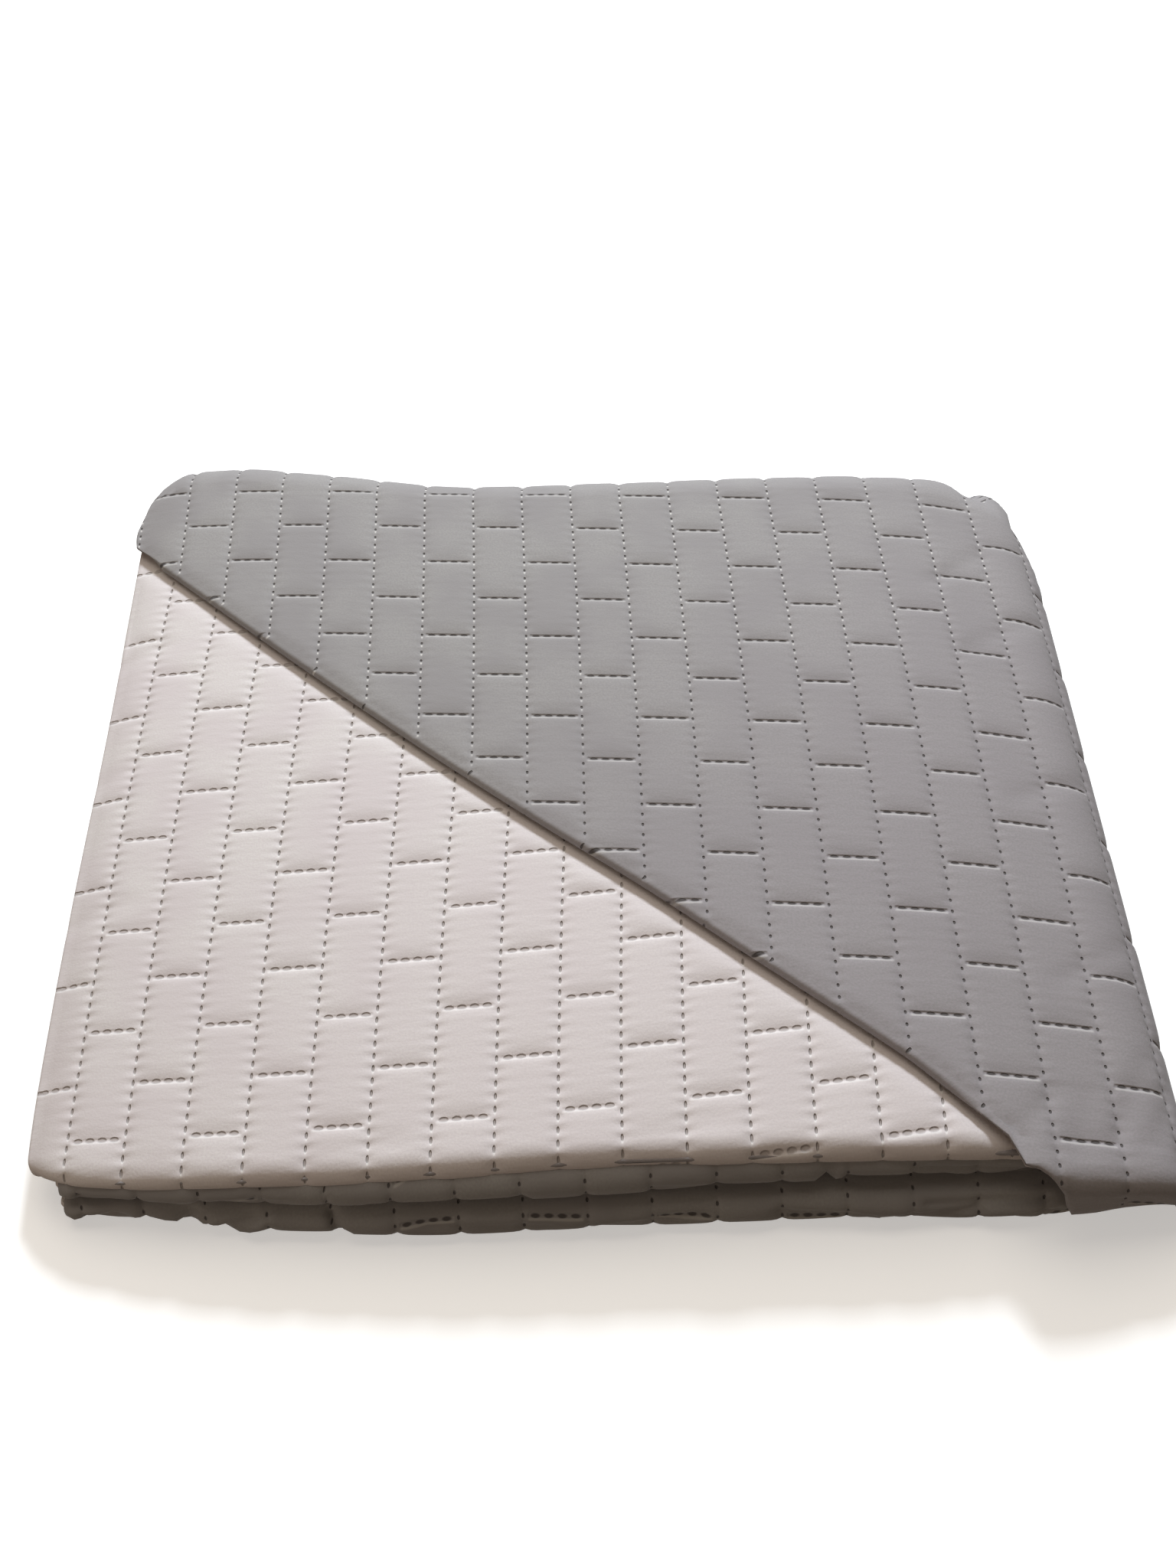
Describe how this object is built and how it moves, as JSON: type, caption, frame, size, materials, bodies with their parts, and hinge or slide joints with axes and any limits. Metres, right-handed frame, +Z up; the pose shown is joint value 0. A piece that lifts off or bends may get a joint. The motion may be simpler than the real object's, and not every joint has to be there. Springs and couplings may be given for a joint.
{
  "type": "quilt",
  "caption": "Thin reversible quilt with welded brick quilting, folded into a flat rectangular pack, with one top corner turned under along a diagonal so that the lighter face shows.",
  "frame": {"origin": "middle of the pack's footprint, on the surface it lies on", "axes": "+X along the front edge towards the right end, where the top layer hangs to the floor; +Y from the folds at the front to the wide turn at the back; +Z up"},
  "size_m": [0.4768, 0.4502, 0.0489],
  "materials": {
    "grey_face": "matt brushed microfibre, mid grey",
    "light_face": "matt brushed microfibre, pale grey"
  },
  "bodies": {
    "root": {"quilt": "grey_face"}
  },
  "joints": []
}
